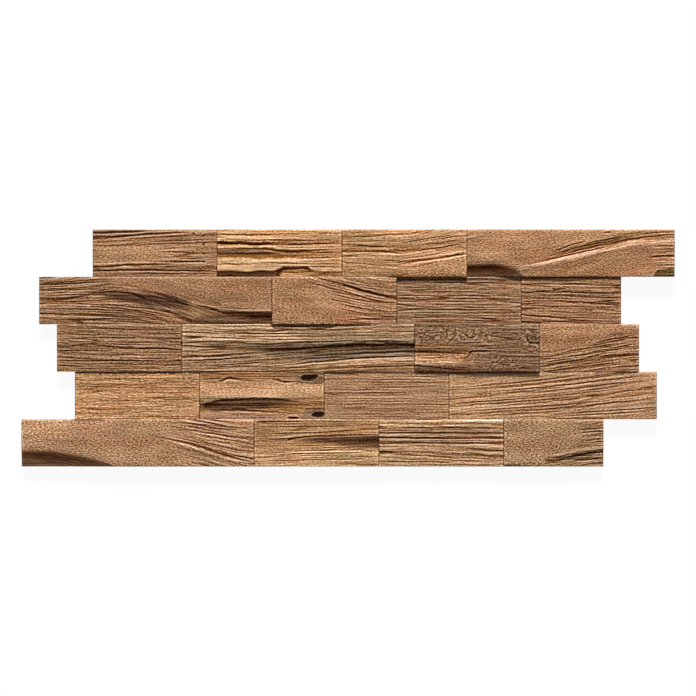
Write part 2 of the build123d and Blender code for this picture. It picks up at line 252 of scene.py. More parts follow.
FACES["row1_block4"] = Face(
    tone="russet", light=1.05, flow=((18, 95, 26, 26),), fibre=0.96, splits=0.66,
    eased=(
        (((-8, -8), (-8, 40), (14, 42), (34, 22), (38, -8)), 2.2),
        (((24, 24), (40, 62), (58, 96), (76, 110), (108, 114), (108, 84), (84, 76),
          (62, 54), (44, 38)), 2.4),
    ),
    fans=(
        (((29, 22), (47, 43), (62, 57), (84, 79), (108, 90)),
         ((40, 50), (49, 66), (62, 80), (80, 90), (108, 98)), 6, 0.65, 1.2),
    ),
    worn=(
        ((-8, -8), (-8, 26), (14, 28), (26, 18), (34, -8)),
        ((-8, 108), (-8, 24), (10, 28), (20, 24), (28, 20), (45, 52), (62, 78), (80, 93),
         (108, 100), (108, 108)),
        ((30, -8), (28, 12), (45, 29), (60, 47), (75, 61), (88, 68), (92, 50), (90, -8)),
    ),
    grooves=(
        (((29, 24), (47, 45), (62, 59), (84, 81), (108, 92)), 0.7, 0.5),
        (((65, 92), (70, 94)), 0.6, 0.7),
        (((93, 24), (108, 24)), 0.5, 0.5),
        (((86, 40), (96, 43), (120, 44)), 0.8, 0.9),
    ),
    crests=(
        (((34, 30), (52, 52), (66, 65), (86, 82), (108, 88)), 0.6, 0.5),
        (((44, 52), (56, 68), (68, 77), (86, 88), (108, 94)), 0.6, 0.5),
        (((25, 15), (42, 32), (55, 46), (65, 59), (76, 68), (87, 76), (108, 77)), 2.6, 0.8),
        (((-8, 76), (7, 88)), 0.9, 0.6),
    ),
    chips=((GREEN_CHIP, 0.5),),
    clean=(SCOOP,),
    stains_and_painted_light=(
        # painted highlight along the lit crest
        ("peach", ((25, 12), (42, 29), (65, 56), (87, 72), (108, 74), (108, 82), (87, 80), (65, 63),
                   (42, 36), (26, 19)), 4, 0.4),
        # painted shade in the scoop, which faces away from the light
        ("dark", SCOOP, 1.2, 0.97),
        ("green", GREEN_CHIP, 2, 0.95),
    ),
)
FACES["row2_block1"] = Face(
    tone="russet", light=0.80, flow=((0, 30, -2, 6), (38, 76, -16, -10)), fibre=1.09, splits=0.88,
    eased=(
        (((22, 92), (22, 30), (50, 8), (78, 0), (78, 46), (64, 74), (45, 90)), 6.5),
        (band(2, 40, 70), 1.8),
    ),
    fans=(
        (((-8, 56), (40, 60)), ((-8, 88), (45, 104)), 7, 0.5, 0.8),
        (((-8, 6), (40, 2), (70, -8)), ((-8, 48), (35, 44), (60, 24), (78, 4)), 8, 0.5, 0.8),
        (((20, 50), (60, 44), (72, 30)), ((15, 64), (45, 62), (62, 54)), 4, 0.6, 0.5),
    ),
    worn=(((28, 108), (33, 84), (45, 74), (62, 60), (72, 42), (80, 33), (108, 29), (108, 108)),),
    grooves=(
        (((24, 71), (32, 74)), 0.5, 0.6),
        (((71, 33), (75, 30), (80, 24), (86, 24), (108, 24)), 0.7, 0.6),
    ),
    crests=(
        (((-4, 42), (12, 42), (25, 34), (37, 23), (47, 8)), 0.5, 0.45),
        (((20, 46), (34, 44), (44, 40), (55, 32), (68, 20)), 0.55, 0.5),
        (((-4, 70), (6, 77), (15, 76), (34, 80)), 0.5, 0.4),
        (((60, 46), (72, 39), (79, 32), (92, 28), (108, 28)), 0.6, 0.5),
    ),
    stains_and_painted_light=(
        # these two are painted shade: on the slope below the plateau, and below the ledge at the lower right,
        # both turned from the light
        ("dark", ((20, 69), (38, 68), (57, 65), (64, 52), (64, 35), (48, 35), (34, 50)), 6, 1.0),
        ("dark", ((60, 2), (70, 18), (80, 22), (108, 22), (108, 4), (80, -4)), 5, 0.8),
        ("dark", ((20, 24), (40, 36), (64, 34), (66, 8), (50, -8), (20, -8)), 8, 0.12),
    ),
)
FACES["row2_block2"] = Face(
    tone="russet", light=0.98, flow=((30, 100, -5, -16),), fibre=0.96, splits=0.77, pebble=1.15,
    fans=((((40, 40), (70, 20), (108, 10)), ((42, 100), (70, 88), (108, 76)), 8, 0.5, 0.7),),
    worn=(((-8, -8), (-8, 108), (38, 108), (40, 90), (50, 60), (62, 30), (64, -8)),),
    grooves=(
        (((14, 113), (36, 98), (56, 85), (70, 73), (80, 64), (104, 57)), 0.8, 0.7),
        (((24, 94), (40, 81), (55, 71), (68, 61), (82, 50), (96, 45)), 0.6, 0.75),
        (((58, 9), (75, 11), (92, 11), (116, 10)), 0.6, 0.7),
        (((81, 36), (82, 31), (80, 27)), 0.5, 0.6),
    ),
    stains_and_painted_light=(("red", ((50, 20), (60, 26), (70, 16), (66, 4), (54, 4)), 6, 0.45),),
)
FACES["row2_block3"] = Face(
    tone="tan", light=0.84, flow=((0, 100, -2, -1),), fibre=1.09, splits=0.88,
    fans=((((-8, 2), (108, -2)), ((-8, 98), (108, 97)), 15, 0.5, 0.65),),
    # painted shadow of the taller block above
    stains_and_painted_light=(("dark", band(88, 108), 8, 0.55),),
)
FACES["row2_block4"] = Face(
    tone="russet", light=0.81, flow=((0, 100, -3, -1),), splits=0.8, pebble=1.2,
    painted_joint_shade=((-8, 108, 0.8),),
    fans=((((-8, 4), (108, -4)), ((-8, 88), (108, 86)), 9, 0.5, 0.6),),
    grooves=(
        (((31, 76), (34, 72), (43, 75)), 0.8, 0.8),
        (((-8, 68), (30, 69), (60, 67), (112, 65)), 0.6, 0.6),
        (((25, 52), (60, 46), (112, 40)), 0.7, 0.7),
        (((38, 61), (70, 57), (112, 54)), 0.5, 0.7),
        (((-12, 22), (20, 17), (45, 11), (68, 5)), 0.7, 0.9),
        (((-12, 5), (10, 4), (24, 3)), 0.8, 0.9),
    ),
    crests=((((10, 80), (40, 82), (108, 78)), 0.8, 0.4),),
    stains_and_painted_light=(("fresh", band(84, 108), 6, 0.15),),
)
FACES["row3_block1"] = Face(
    tone="russet", light=0.76, flow=((0, 100, -1, -2),), fibre=0.85, run=0.6, pebble=1.3,
    fans=((((-8, 4), (108, 4)), ((-8, 98), (108, 93)), 13, 0.45, 0.7),),
)
FACES["row3_block2"] = Face(
    tone="olive", light=0.915, flow=((0, 100, 11, 1),), fibre=1.05, splits=1.1,
    painted_joint_shade=((38, 76, 0.85),),
    fans=(
        (((-8, 62), (40, 60), (108, 68)), ((-8, 98), (50, 97), (108, 98)), 7, 0.5, 0.6),
        (((-8, 26), (40, 40), (108, 58)), ((-8, 60), (30, 56), (108, 64)), 7, 0.5, 0.8),
        (((20, 16), (60, 28), (108, 40)), ((20, 50), (60, 58), (108, 62)), 5, 0.8, 1.0),
        (((-8, -4), (45, 0), (108, 10)), ((-8, 20), (45, 10), (108, 30)), 5, 0.5, 0.8),
    ),
    grooves=(
        (((21, 61), (36, 58), (48, 61), (63, 64), (74, 65), (108, 64)), 0.8, 0.7),
        (((39, 44), (52, 48), (70, 54), (108, 58)), 0.7, 0.9),
        (((37, 10), (52, 18), (65, 24), (81, 30), (108, 34)), 0.6, 0.7),
        (((4, 22), (19, 27), (34, 33)), 0.5, 0.7),
        (((8, 86), (21, 84), (32, 82)), 0.5, 0.7),
        (((10, 72), (20, 71), (30, 68)), 0.5, 0.6),
    ),
    crests=(
        (((-4, 24), (19, 31), (38, 38)), 0.7, 0.6),
        (((-4, 55), (18, 56), (36, 56)), 0.6, 0.4),
        (((17, 44), (34, 50), (52, 54), (78, 61)), 0.6, 0.4),
        (((8, 82), (21, 80), (32, 78)), 0.6, 0.4),
        (((48, 27), (70, 35), (104, 40)), 0.6, 0.4),
        (((1, 2), (21, 4), (45, 11), (63, 20), (82, 26), (108, 31)), 0.8, 0.5),
    ),
    stains_and_painted_light=(
        ("cream", ((-8, 66), (-8, 108), (40, 108), (52, 64)), 8, 0.5),
        ("cream", ((40, 108), (50, 70), (108, 74), (108, 108)), 8, 0.22),
        ("grey", ((28, 56), (60, 62), (108, 64), (108, 34), (80, 30), (55, 22), (40, 30)), 5, 0.85),
        ("pale", ((-8, -8), (20, 3), (45, 10), (63, 19), (82, 26), (108, 31), (108, 24),
                  (82, 16), (60, 8), (45, -8)), 3, 0.5),
        ("fresh", ((40, -8), (60, 12), (90, 24), (108, 24), (108, -8)), 8, 0.2),
    ),
)
FACES["row3_block3"] = Face(
    tone="russet", light=0.73, flow=((0, 100, -1, 1),), fibre=0.95, splits=0.7,
    bark=1.15, pebble=1.3, torn=1.0,
    painted_joint_shade=((-8, 56, 0.6),),
    eased=((band(34, 52, -8, 52), 1.1),),
    fans=(
        (((-8, 45), (48, 44)), ((-8, 60), (48, 58)), 4, 0.45, 0.5),
        (((-8, 22), (40, 24)), ((-8, 40), (44, 40)), 4, 0.45, 0.4),
        (((50, 4), (108, 4)), ((50, 40), (108, 40)), 6, 0.45, 0.5),
        (((30, 84), (108, 84)), ((30, 98), (108, 98)), 3, 0.5, 0.6),
    ),
    worn=(
        ((2, 90), (2, 62), (28, 60), (46, 70), (60, 64), (62, 88), (30, 92)),
        ((60, 32), (60, 8), (84, 8), (84, 30)),
        ((84, 92), (88, 40), (108, 40), (108, 90)),
    ),
    grooves=(
        (((42, 38), (48, 43), (64, 43)), 0.7, 1.0),
        (((39, 84), (44, 72), (49, 76), (46, 82)), 0.5, 0.8),
        (((63, 84), (68, 72), (71, 66), (77, 49)), 0.45, 0.3),
        (((47, 46), (44, 36), (40, 27)), 0.5, 0.7),
        (((90, 80), (92, 62), (108, 60)), 0.7, 1.0),
        (((66, 22), (72, 14), (78, 16)), 0.45, 0.6),
    ),
    stains_and_painted_light=(
        ("grey", ((-8, 108), (-8, 58), (46, 54), (48, -8), (108, -8), (108, 108)), 8, 0.36),
        ("fresh", ((-8, 46), (-8, 60), (30, 58), (50, 48), (32, 45)), 3, 0.5),
        ("fresh", ((-8, 24), (-8, 43), (30, 43), (42, 41), (39, 26), (22, 22)), 4, 0.45),
        ("peach", ((-8, 17), (-8, 40), (24, 38), (42, 38), (38, 22), (20, 16)), 4, 0.85),
        # painted shade along the lower left edge
        ("dark", ((-8, 1), (-8, 14), (20, 14), (40, 11), (47, 5), (30, 0)), 4, 0.6),
        ("dark", ((-8, 45), (-8, 59), (30, 57), (50, 48), (32, 44)), 4, 0.3),
        ("dark", ((90, 80), (100, 82), (108, 78), (108, 60), (93, 62)), 4, 0.55),
    ),
)
FACES["row3_block4"] = Face(
    tone="russet", light=0.94, flow=((0, 100, 11, 4),), fibre=1.02, splits=0.88, pebble=1.2,
    fans=((((-8, -8), (50, 6), (108, 22)), ((-8, 40), (50, 60), (108, 84)), 13, 0.65, 0.85),),
    worn=(((-8, 108), (-8, 40), (30, 44), (60, 64), (80, 82), (108, 90), (108, 108)),),
    grooves=(
        (((30, 20), (60, 30), (108, 38)), 0.6, 0.6),
        (((-8, 8), (22, 18), (50, 30), (80, 50)), 0.8, 1.0),
    ),
    stains_and_painted_light=(("red", ((66, 72), (108, 72), (108, 108), (72, 108)), 8, 0.25),),
)
FACES["row4_block1"] = Face(
    tone="honey", light=1.05, flow=((0, 100, 1, -1),), fibre=0.75, run=0.3, splits=0.3,
    painted_joint_shade=((-8, 86, 0.9),),
    fans=((((-8, 3), (108, 1)), ((-8, 98), (108, 98)), 10, 0.45, 0.5),),
    stains_and_painted_light=(("peach", band(-8, 26), 8, 0.42), ("dark", band(74, 108), 8, 0.08)),
)
FACES["row4_block2"] = Face(
    tone="honey", light=0.77, flow=((0, 50, 1, 0), (50, 100, -1, 0)), fibre=0.7, splits=0.55,
    pebble=0.85, wander=1.7, torn=0.9,
    painted_joint_shade=((-8, 108, 0.5),),
    eased=((((-8, 12), (-8, 54), (96, 54), (96, 16)), 2.4),),
    fans=(
        (((-8, 84), (108, 82)), ((-8, 98), (108, 100)), 4, 0.5, 0.6),
        (((-8, 20), (60, 14), (100, 24)), ((-8, 34), (40, 42), (100, 38)), 5, 0.5, 0.55),
        (((-8, 2), (108, 2)), ((-8, 12), (108, 14)), 3, 0.5, 0.6),
    ),
    grooves=(
        (((-8, 24), (13, 37), (24, 40), (48, 42), (68, 40), (79, 36)), 0.9, 0.9),
        (((10, 21), (26, 19), (38, 19), (57, 15), (81, 13)), 0.8, 0.8),
        (((70, 3), (80, 2)), 0.9, 1.6),
        (((14, 80), (19, 82), (23, 87), (29, 85), (40, 84)), 0.9, 0.9),
        (((58, 84), (63, 82), (68, 79), (78, 80)), 0.7, 0.8),
        (((24, 21), (32, 22), (40, 20)), 0.9, 0.9),
        (((2, 29), (9, 30), (20, 31)), 1.6, 0.9),
        (((74, 86), (82, 97), (94, 98), (106, 92)), 0.5, 0.25),
        (((72, 84), (84, 77), (96, 76), (106, 82)), 0.5, 0.25),
        (((78, 8), (88, 22), (98, 22), (108, 16)), 0.5, 0.25),
    ),
    worn=(
        ((-8, 46), (-8, 76), (60, 80), (108, 74), (108, 48), (60, 46)),
        ((-8, -8), (-8, 14), (60, 10), (108, 14), (108, -8)),
    ),
    stains_and_painted_light=(
        ("grey", ((4, 36), (18, 50), (44, 50), (58, 44), (40, 40)), 5, 0.35),
        ("grey", ((75, 78), (84, 71), (99, 74), (105, 88), (98, 98), (82, 98)), 4, 0.6),
        ("grey", ((80, 0), (84, 18), (95, 27), (106, 20), (106, 0)), 4, 0.6),
        ("grey", ((24, 3), (28, 16), (40, 15), (44, 4)), 4, 0.45),
        ("dark", ((-8, 84), (60, 86), (108, 84), (108, 108), (-8, 108)), 5, 0.27),
        ("peach", ((-8, 50), (-8, 74), (60, 78), (108, 74), (108, 48), (60, 46), (40, 48)), 6, 0.64),
        ("fresh", band(84, 108), 5, 0.2),
        ("fresh", ((50, 14), (58, 30), (76, 42), (104, 42), (96, 22), (80, 12)), 6, 0.4),
        ("pink", ((-8, -8), (-8, 12), (60, 9), (108, 14), (108, -8)), 5, 0.5),
        ("dark", ((-8, 24), (5, 34), (18, 42), (45, 45), (72, 44), (80, 38), (60, 24),
                  (40, 17), (15, 18)), 5, 0.85),
        ("dark", ((76, 90), (84, 99), (95, 99), (102, 86), (95, 77), (80, 79)), 5, 0.8),
        ("dark", ((83, 10), (92, 21), (102, 18), (104, 4), (94, 0), (85, 3)), 5, 0.8),
        ("dark", ((2, 21), (4, 34), (12, 38), (24, 38), (26, 22), (14, 15)), 4, 1.0),
    ),
)
FACES["row4_block3"] = Face(
    tone="tan", fibre=0.60, splits=0.4,
    painted_joint_shade=((74, 108, 0.95),),
    fans=((((-8, 2), (108, 2)), ((-8, 98), (108, 98)), 17, 0.4, 0.42),),
)
FACES["row4_block4"] = Face(
    tone="tan", light=1.09, flow=((0, 50, 3, 6), (50, 100, 9, 8)), fibre=0.6, splits=0.55,
    painted_joint_shade=((-8, 44, 0.95), (70, 91, 0.7)),
    stains_and_painted_light=(("pale", ((-8, -8), (-8, 108), (36, 108), (48, -8)), 14, 0.45),),
    fans=(
        (((-8, 0), (50, 14), (108, 36)), ((-8, 64), (40, 84), (108, 122)), 14, 0.7, 0.7),
        (((40, -4), (108, 4)), ((40, 8), (108, 30)), 3, 0.5, 0.8),
    ),
)
FACES["row5_block1"] = Face(
    tone="tan", light=1.07, flow=((58, 100, -15, -8),), fibre=0.75, splits=0.88, pebble=1.25,
    painted_joint_shade=((22, 35, 0.9),),
    eased=((((-8, -8), (-8, 44), (20, 42), (36, 24), (54, -8)), 3.2),),
    fans=(
        (((-8, 2), (14, 2), (26, -8)), ((-8, 28), (14, 27), (38, 3)), 4, 0.5, 0.2),
        (((62, 66), (80, 40), (108, 6)), ((62, 96), (84, 88), (108, 80)), 7, 0.55, 0.75),
    ),
    grooves=((((56, 66), (70, 51), (80, 37), (90, 21), (106, 2)), 0.8, 0.8),),
    crests=((((62, 54), (74, 40), (86, 20), (98, 3)), 0.7, 0.4),),
    worn=(((-8, -8), (-8, 108), (60, 108), (66, 80), (64, 50), (72, 20), (80, -8)),),
    clean=(DARK_CORNER,),
    stains_and_painted_light=(
        # painted shade on the chipped corner, a slope that faces away from the light
        ("dark", DARK_CORNER, 1.2, 0.92),
        ("cream", ((-8, 108), (-8, 62), (15, 70), (24, 90), (18, 108)), 5, 0.35),
    ),
)
FACES["row5_block2"] = Face(
    tone="honey", light=1.05, flow=((0, 100, 5, 1),), fibre=0.65, splits=0.45,
    painted_joint_shade=((4, 26, 0.6),),
    eased=((((30, 44), (108, 36), (108, 78), (60, 74), (30, 66)), 2.4),),
    fans=(
        (((-8, 80), (108, 84)), ((-8, 98), (108, 98)), 4, 0.5, 0.7),
        (((-8, 48), (50, 62), (108, 68)), ((-8, 72), (50, 74), (108, 82)), 4, 0.5, 0.7),
        (((-8, 8), (108, 14)), ((-8, 44), (60, 46), (108, 50)), 7, 0.5, 0.7),
    ),
    grooves=((((-4, 94), (44, 97)), 0.7, 0.8), (((25, 55), (32, 60), (60, 66), (108, 68)), 0.8, 0.8)),
    stains_and_painted_light=(
        ("fresh", band(-8, 108), 8, 0.1),
        ("cream", ((-8, -8), (-8, 34), (60, 38), (108, 42), (108, -8)), 8, 0.55),
        ("dark", ((-8, 46), (-8, 108), (108, 108), (108, 84), (40, 76), (20, 46)), 8, 0.28),
        # painted shade in the valley, on its wall that faces away from the light
        ("dark", ((28, 57), (60, 65), (108, 68), (108, 37), (80, 41), (55, 51)), 4, 1.0),
        ("pale", ((10, 66), (60, 72), (108, 76), (108, 84), (40, 84)), 5, 0.35),
    ),
)
FACES["row5_block3"] = Face(
    tone="tan", light=1.03, flow=((0, 100, -3, 0),), fibre=0.95, splits=0.8, wander=0.4, torn=0.1,
    painted_joint_shade=((-8, 108, 0.25),),
    fans=(
        (((-8, 44), (108, 48)), ((-8, 82), (108, 84)), 10, 0.5, 0.75),
        (((-8, 4), (108, 0)), ((-8, 38), (108, 28)), 6, 0.45, 0.35),
    ),
    grooves=((((-8, 76), (40, 78), (108, 76)), 0.6, 0.6), (((-8, 63), (50, 60), (108, 62)), 0.6, 0.7)),
    stains_and_painted_light=(
        ("cream", ((-8, 86), (108, 87), (108, 108), (-8, 108)), 5, 1.0),
        ("cream", ((-8, -8), (-8, 36), (108, 34), (108, -8)), 8, 0.3),
        ("dark", ((-8, 46), (-8, 82), (108, 84), (108, 48)), 8, 0.12),
    ),
)
FACES["row5_block4"] = Face(
    tone="olive", flow=((40, 100, 9, 4),), fibre=0.96, splits=0.88, pebble=1.3,
    fans=(
        (((44, 8), (108, 16)), ((50, 24), (108, 36)), 4, 0.6, 1.1),
        (((78, 44), (108, 50)), ((78, 92), (108, 96)), 6, 0.45, 0.6),
    ),
    grooves=((((44, 15), (64, 25), (76, 30), (112, 39)), 0.7, 0.5),),
    worn=(((-8, -8), (-8, 108), (70, 108), (82, 60), (70, 34), (44, 20), (36, -8)),),
    stains_and_painted_light=(
        ("dark", ((-8, -8), (-8, 5), (14, 5), (20, 2), (34, -8)), 1.5, 0.9),
        ("cream", ((-8, 4), (-8, 24), (36, 24), (42, 6)), 7, 0.3),
        # painted shade in the deep groove
        ("dark", ((50, 17), (76, 31), (108, 42), (108, 33), (76, 22), (56, 12)), 2, 1.0),
    ),
)


# Noise and drawing on a face

GRADIENTS = 256


def noise(u, v, seed):
    """Smooth noise between about -1 and 1 that changes over one unit of u and of v."""
    draw = np.random.default_rng(seed)
    shuffled = draw.permutation(GRADIENTS)
    turns = draw.uniform(0, 2 * math.pi, GRADIENTS)
    column = np.floor(u).astype(int)
    row = np.floor(v).astype(int)
    du = u - column
    dv = v - row

    def corner(i, j):
        turn = turns[shuffled[(shuffled[(column + i) % GRADIENTS] + row + j) % GRADIENTS]]
        return np.cos(turn) * (du - i) + np.sin(turn) * (dv - j)

    ease_u = du**3 * (du * (6 * du - 15) + 10)
    ease_v = dv**3 * (dv * (6 * dv - 15) + 10)
    lower = corner(0, 0) * (1 - ease_u) + corner(1, 0) * ease_u
    upper = corner(0, 1) * (1 - ease_u) + corner(1, 1) * ease_u
    return 1.4 * (lower * (1 - ease_v) + upper * ease_v)


def smooth(low, high, value):
    """0 below low, 1 above high and an even slope between them."""
    share = np.clip((value - low) / (high - low), 0, 1)
    return share * share * (3 - 2 * share)


def blur(heights, sigma_along, sigma_across):
    """Heights of a face evened out over a width along and across the grain."""
    for axis, sigma in ((0, sigma_across / CELL_ACROSS), (1, sigma_along / CELL_ALONG)):
        reach = int(3 * sigma) + 1
        steps = np.arange(-reach, reach + 1)
        weights = np.exp(-0.5 * (steps / sigma) ** 2)
        weights /= weights.sum()
        padding = [(0, 0), (0, 0)]
        padding[axis] = (reach, reach)
        padded = np.pad(heights, padding, mode="edge")
        count = heights.shape[axis]
        heights = sum(
            weight * np.take(padded, np.arange(step, step + count), axis)
            for step, weight in enumerate(weights)
        )
    return heights


class Grid:
    """The points of one riven face, in millimetres from the lower left corner of its block."""

    def __init__(self, node, seed):
        low, high = (np.array(corner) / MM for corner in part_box(node))
        self.node = node
        self.seed = seed
        self.low = low
        self.length, self.height, _ = high - low
        columns = round(self.length / CELL_ALONG) + 1
        rows = round(self.height / CELL_ACROSS) + 1
        along = np.linspace(0, self.length, columns)
        across = np.linspace(0, self.height, rows)
        self.x, self.y = np.meshgrid(along, across)
        self.drawn_x = self.x + 0.8 * self.noise(7, 5, 1)
        self.drawn_y = self.y + 0.35 * self.noise(18, 6, 2) + 0.2 * self.noise(3.5, 3, 7)

    def noise(self, run, width, number):
        """The block's own noise of a given number, over a run along it and a width across it."""
        return noise(self.x / run, self.y / width, self.seed + number)

    def place(self, points):
        """Points in percents of the face, in millimetres."""
        return np.array(points, float) * (self.length / 100, self.height / 100)

    def distance(self, line):
        """Distance of every point from a line of points, and how far along the line it is."""
        nearest = np.full(self.x.shape, 1e9)
        along = np.zeros(self.x.shape)
        for number, (start, end) in enumerate(zip(line[:-1], line[1:])):
            step = end - start
            away_x = self.drawn_x - start[0]
            away_y = self.drawn_y - start[1]
            share = np.clip((away_x * step[0] + away_y * step[1]) / (step @ step), 0, 1)
            gap = np.hypot(away_x - share * step[0], away_y - share * step[1])
            nearer = gap < nearest
            nearest[nearer] = gap[nearer]
            along[nearer] = (number + share[nearer]) / (len(line) - 1)
        return nearest, along

    def stroke(self, points, half_width):
        """1 along a smooth line through some points, thinning out towards its ends, and 1 along its lips."""
        gap, along = self.distance(curve_through(self.place(points)))
        thin = smooth(0, 0.25, along) * (1 - smooth(0.75, 1, along))
        width = half_width * (0.45 + 0.55 * thin)
        strength = 0.25 + 0.75 * thin
        return np.exp(-((gap / width) ** 2)) * strength, np.exp(-((gap / width - 2.2) ** 2)) * strength

    def patch(self, outline, soft):
        """1 inside an outline and 0 outside it, with a soft edge."""
        corners = self.place(outline)
        ring = np.vstack([corners, corners[:1]])
        gap, _ = self.distance(ring)
        inside = np.zeros(self.x.shape, bool)
        for (x0, y0), (x1, y1) in zip(ring[:-1], ring[1:]):
            if y0 != y1:
                spans = (y0 > self.drawn_y) != (y1 > self.drawn_y)
                inside ^= spans & (self.drawn_x < x0 + (self.drawn_y - y0) * (x1 - x0) / (y1 - y0))
        return smooth(-soft / 2, soft / 2, np.where(inside, gap, -gap))


def curve_through(points, steps=6):
    """A smooth line through some points."""
    ends = np.vstack([2 * points[0] - points[1], points, 2 * points[-1] - points[-2]])
    share = np.linspace(0, 1, steps, endpoint=False)[:, None]
    line = []
    for before, start, end, after in zip(ends[:-3], ends[1:-2], ends[2:-1], ends[3:]):
        line.append(0.5 * (
            2 * start
            + (end - before) * share
            + (2 * before - 5 * start + 4 * end - after) * share**2
            + (3 * start - before - 3 * end + after) * share**3
        ))
    return np.vstack([*line, points[-1:]])


def fan_lines(lower, upper, count, seed):
    """Lines of uneven length spread between two guide lines, each with its share of the depth."""
    draw = np.random.default_rng(seed)
    for number in range(count):
        share = (number + 0.5 + draw.uniform(-0.3, 0.3)) / count
        span = draw.uniform(0.4, 0.85)
        start = draw.uniform(0, 1 - span)
        stations = np.linspace(start, start + span, 5)
        points = along_line(lower, stations) * (1 - share) + along_line(upper, stations) * share
        yield points, draw.uniform(0.45, 1)


def along_line(points, shares):
    """Places at given shares of the way along a line of points."""
    points = np.array(points, float)
    stations = np.linspace(0, 1, len(points))
    return np.stack([np.interp(shares, stations, side) for side in points.T], 1)


# The riven face of a block

def solid_heights(grid, face):
    """Height of the solid's face under every point, read along lines that wander as splits do."""
    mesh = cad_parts[grid.node].data
    corners = [vertex.co for vertex in mesh.vertices]
    tree = BVHTree.FromPolygons(corners, [tuple(side.vertices) for side in mesh.polygons])
    wander_x = 2 * CREASE_WANDER * grid.noise(13, 9, 3)
    wander_y = face.wander * CREASE_WANDER * (grid.noise(16, 7, 4) + 0.5 * grid.noise(5, 4, 5))
    wander_y += face.torn * np.round(TEARS * grid.noise(12, 10, 6)) / TEARS
    x = grid.low[0] + np.clip(grid.x + wander_x, CLEAR, grid.length - CLEAR)
    y = grid.low[1] + np.clip(grid.y + wander_y, CLEAR, grid.height - CLEAR)
    above = cad_box[1].z + MM
    down = Vector((0, 0, -1))
    heights = [
        tree.ray_cast(Vector((px * MM, py * MM, above)), down)[0].z / MM
        for px, py in zip(x.ravel(), y.ravel())
    ]
    heights = np.array(heights).reshape(x.shape)
    for outline, width in face.eased:
        heights += grid.patch(outline, EASED_EDGE) * (blur(heights, EASED_RUN, width) - heights)
    return heights


def grain_across(grid, face):
    """Place of every point across the grain, which bends as the face's flow says."""
    along = 100 * grid.x / grid.length
    up = grid.y / grid.height
    rise = np.zeros(grid.x.shape)
    for start, end, lower_rise, upper_rise in face.flow:
        rise += smooth(start, end, along) * (lower_rise + (upper_rise - lower_rise) * up)
    return grid.y - rise


def fibres(x, across, seed):
    """Brushed fibres: rounded strands with narrow grooves between them, in several widths."""
    relief = np.zeros(x.shape)
    for number, (width, run, share) in enumerate(STRANDS):
        strand = noise(x / run, across / width, seed + number)
        relief += share * (np.abs(strand) ** 0.8 - 0.35)
    return relief


def long_splits(x, across, seed):
    """Thin splits that open along the grain and close again."""
    course = noise(x / SPLIT_RUN, across / SPLIT_SPACING, seed)
    opening = smooth(-0.1, 0.5, noise(x / 45, across / 9, seed + 1))
    return np.exp(-((course / SPLIT_WIDTH) ** 2)) * opening


def pebbles(grid):
    """Pebbled grain of a worn face."""
    cosine, sine = PEBBLE_SLANT
    slant_u = cosine * grid.x + sine * grid.y
    slant_v = cosine * grid.y - sine * grid.x
    relief = np.zeros(grid.x.shape)
    for number, (length, width, share) in enumerate(PEBBLES):
        relief += share * noise(slant_u / length, slant_v / width, grid.seed + 30 + number)
    return relief


def bark_curls(grid):
    """Rounded curls with creases between them, as on wood that lay just under the bark."""
    bent_x = grid.x + CURL_BEND * grid.noise(8, 8, 60)
    bent_y = grid.y + CURL_BEND * grid.noise(8, 8, 61)
    length, width = CURL_SIZE
    return np.abs(noise(bent_x / length, bent_y / width, grid.seed + 62)) ** 0.6 - 0.5


def worn_patches(grid, face):
    """1 where the fibres are worn away."""
    worn = np.zeros(grid.x.shape)
    for outline in face.worn:
        worn = np.maximum(worn, grid.patch(outline, WORN_EDGE))
    return worn


def brushed_relief(grid, face, across, worn):
    """Fibres, pebbled grain and curls on a face that is nowhere quite flat."""
    relief = FIBRE_HEIGHT * face.fibre * (1 - BARE * worn) * fibres(grid.x / face.run, across, grid.seed + 20)
    relief += PEBBLE_HEIGHT * face.pebble * (0.75 + 0.25 * worn) * pebbles(grid)
    relief += face.bark * worn * bark_curls(grid)
    for outline in face.clean:
        relief *= 1 - BARE * grid.patch(outline, CLEAN_EDGE)
    relief += UNDULATION * noise(grid.x / 24, across / 11, grid.seed + 70)
    return relief


def all_grooves(grid, face):
    """The single grooves of a face and those of its fans."""
    grooves = list(face.grooves)
    for lower, upper, count, half_width, depth in face.fans:
        for points, share in fan_lines(lower, upper, count, grid.seed + 50):
            grooves.append((points, half_width, share * depth))
    return grooves


def cuts(grid, face, across, worn):
    """Depth of the splits, grooves, chips and worm holes, and height of the lips of the grooves."""
    cut = face.splits * (1 - BARE * worn) * long_splits(grid.x, across, grid.seed + 10)
    lips = np.zeros(grid.x.shape)
    for points, half_width, depth in all_grooves(grid, face):
        line, beside = grid.stroke(points, half_width)
        cut = np.maximum(cut, depth * line)
        lips = np.maximum(lips, LIPS * depth * beside)
    for outline, depth in face.chips:
        cut = cut + depth * grid.patch(outline, CHIP_EDGE)
    for along, up in face.worm_holes:
        (x, y), = grid.place([(along, up)])
        gap = np.hypot(grid.x - x, grid.y - y)
        cut = np.maximum(cut, WORM_HOLE_DEPTH * (1 - smooth(0.6 * WORM_HOLE, 1.3 * WORM_HOLE, gap)))
    return cut, lips


def worn_edges(grid):
    """How far the brush has taken down the edges of a face."""
    edge = np.minimum.reduce([grid.x, grid.length - grid.x, grid.y, grid.height - grid.y])
    easing = EDGE_WEAR * np.exp(-edge / EDGE_WIDTH)
    easing += TOP_EDGE_WEAR * np.exp((grid.y - grid.height) / EDGE_WIDTH)
    return easing * (1 + 0.8 * grid.noise(4, 4, 40))


def dark_ends(grid):
    """Dirt in the joints at the ends of a block, and the pale line beside it."""
    ends = np.minimum(grid.x, grid.length - grid.x)
    dirt = 0.5 * np.exp(-ends / 0.4) * (1 + 0.9 * grid.noise(1, 4, 71))
    dirt *= 0.3 + 0.7 * smooth(-0.3, 0.4, grid.noise(60, 9, 72))
    return dirt - 0.2 * np.exp(-((ends - 1.3) / 0.5) ** 2)


